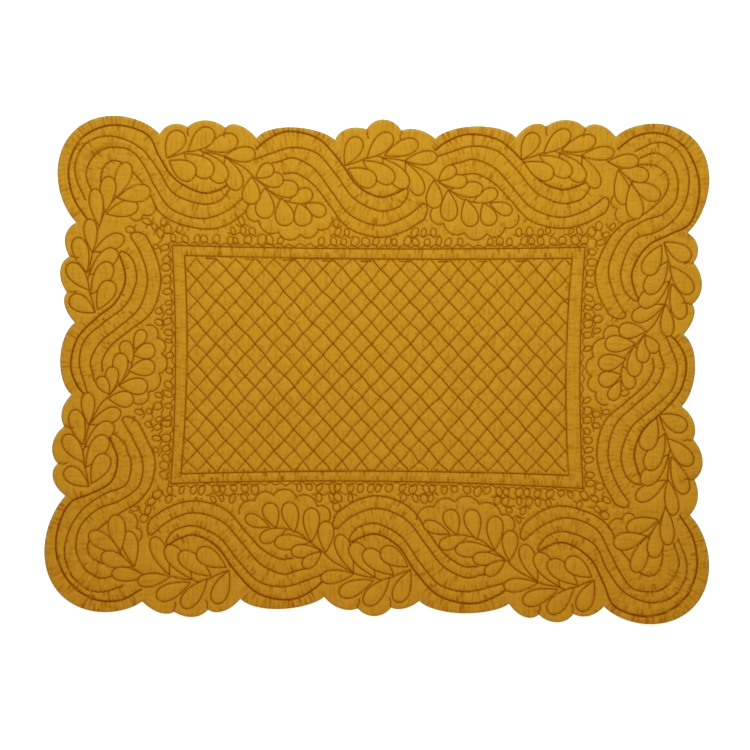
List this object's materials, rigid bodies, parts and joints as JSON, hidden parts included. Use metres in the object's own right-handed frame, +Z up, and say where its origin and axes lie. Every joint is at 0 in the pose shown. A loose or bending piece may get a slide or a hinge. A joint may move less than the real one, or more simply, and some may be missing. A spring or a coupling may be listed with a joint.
{
  "type": "quilted placemat",
  "caption": "Rectangular quilted cotton placemat with a scalloped edge, a double-stitched frame round a crosshatched centre and a leaf-and-ribbon quilted border; lies flat under a plate.",
  "frame": {"origin": "middle of the underside, on the table", "axes": "+X along the long side, +Y from the front edge to the back edge (the picture's top), +Z up out of the quilted face"},
  "size_m": [0.48, 0.367, 0.003],
  "materials": {
    "cotton": "matt, finely woven, quilted"
  },
  "bodies": {
    "root": {"quilted_mat": "cotton"}
  },
  "joints": []
}
